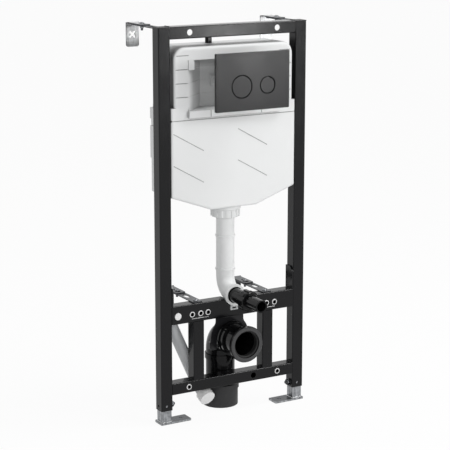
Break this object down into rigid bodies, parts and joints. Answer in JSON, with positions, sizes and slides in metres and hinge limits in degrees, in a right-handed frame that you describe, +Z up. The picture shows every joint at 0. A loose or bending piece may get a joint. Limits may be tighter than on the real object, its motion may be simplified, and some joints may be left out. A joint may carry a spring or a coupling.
{
  "type": "wall hung toilet frame",
  "caption": "Black steel installation frame for a wall hung toilet, with a concealed white cistern, flush plate, flush pipe, waste bend and telescopic feet.",
  "frame": {"origin": "underside of the left foot plate, on the left post's axis", "axes": "+X across the frame to the right post, +Y to the wall, +Z up"},
  "size_m": [0.504, 0.364, 1.1943],
  "materials": {
    "powder_coat": "satin black powder coat on steel tube",
    "cap_plastic": "moulded black plastic",
    "zinc_plate": "bright zinc plating on pressed steel",
    "bushing_nylon": "pale moulded nylon",
    "cistern_plastic": "white moulded plastic",
    "drain_plastic": "black moulded drain plastic",
    "seal_rubber": "black rubber",
    "flush_plate_black": "fine matt black plastic",
    "conduit_grey": "light grey pipe plastic"
  },
  "bodies": {
    "left_foot": {"left_foot_plate": "zinc_plate", "left_leg": "zinc_plate"},
    "frame": {"left_post": "powder_coat", "right_post": "powder_coat", "post_caps": "cap_plastic", "top_rail": "powder_coat", "middle_rail": "powder_coat", "low_rail": "powder_coat", "left_upright": "powder_coat", "right_upright": "powder_coat", "post_gussets": "powder_coat", "stud_bushings": "bushing_nylon", "low_bushings": "bushing_nylon", "rail_plug": "bushing_nylon", "clamp_screws": "zinc_plate", "upper_left_arm": "zinc_plate", "upper_right_arm": "zinc_plate", "middle_left_arm": "zinc_plate", "middle_right_arm": "zinc_plate", "bracket_bolts": "zinc_plate", "cistern_tank": "cistern_plastic", "cistern_hood": "cistern_plastic", "inlet_valve": "drain_plastic", "flush_plate": "flush_plate_black", "plate_mount": "flush_plate_black", "plate_studs": "zinc_plate", "valve_lifter": "cistern_plastic", "flush_collar": "cistern_plastic", "flush_pipe": "cistern_plastic", "flush_connector": "drain_plastic", "flush_clip": "cistern_plastic", "waste_bend": "drain_plastic", "waste_connector": "drain_plastic", "waste_seal": "seal_rubber", "waste_holder": "powder_coat", "service_conduit": "conduit_grey", "conduit_cap": "conduit_grey", "conduit_clips": "conduit_grey"},
    "right_foot": {"right_foot_plate": "zinc_plate", "right_leg": "zinc_plate"},
    "full_flush_button": {"full_flush_button": "flush_plate_black"},
    "half_flush_button": {"half_flush_button": "flush_plate_black"},
    "upper_left_wall_plate": {"upper_left_wall_plate": "zinc_plate"},
    "upper_right_wall_plate": {"upper_right_wall_plate": "zinc_plate"},
    "middle_left_wall_plate": {"middle_left_wall_plate": "zinc_plate"},
    "middle_right_wall_plate": {"middle_right_wall_plate": "zinc_plate"}
  },
  "joints": [
    {"name": "height_adjust", "type": "slide", "parent": "left_foot", "child": "frame", "axis": [0, 0, 1], "range_m": [0, 0.15]},
    {"name": "right_foot_slide", "type": "slide", "parent": "frame", "child": "right_foot", "axis": [0, 0, -1], "range_m": [0, 0.15]},
    {"name": "full_flush", "type": "slide", "parent": "frame", "child": "full_flush_button", "axis": [0, 1, 0], "range_m": [0, 0.005], "stiffness_N_per_m": 400, "springref_m": -0.002},
    {"name": "half_flush", "type": "slide", "parent": "frame", "child": "half_flush_button", "axis": [0, 1, 0], "range_m": [0, 0.005], "stiffness_N_per_m": 400, "springref_m": -0.002},
    {"name": "upper_left_depth", "type": "slide", "parent": "frame", "child": "upper_left_wall_plate", "axis": [0, 1, 0], "range_m": [-0.015, 0.015]},
    {"name": "upper_right_depth", "type": "slide", "parent": "frame", "child": "upper_right_wall_plate", "axis": [0, 1, 0], "range_m": [-0.015, 0.015]},
    {"name": "middle_left_depth", "type": "slide", "parent": "frame", "child": "middle_left_wall_plate", "axis": [0, 1, 0], "range_m": [-0.015, 0.015]},
    {"name": "middle_right_depth", "type": "slide", "parent": "frame", "child": "middle_right_wall_plate", "axis": [0, 1, 0], "range_m": [-0.015, 0.015]}
  ],
  "couplings": [
    {"joint": "right_foot_slide", "follows": "height_adjust", "ratio": 1},
    {"joint": "upper_right_depth", "follows": "upper_left_depth", "ratio": 1},
    {"joint": "middle_left_depth", "follows": "upper_left_depth", "ratio": 1},
    {"joint": "middle_right_depth", "follows": "upper_left_depth", "ratio": 1}
  ]
}
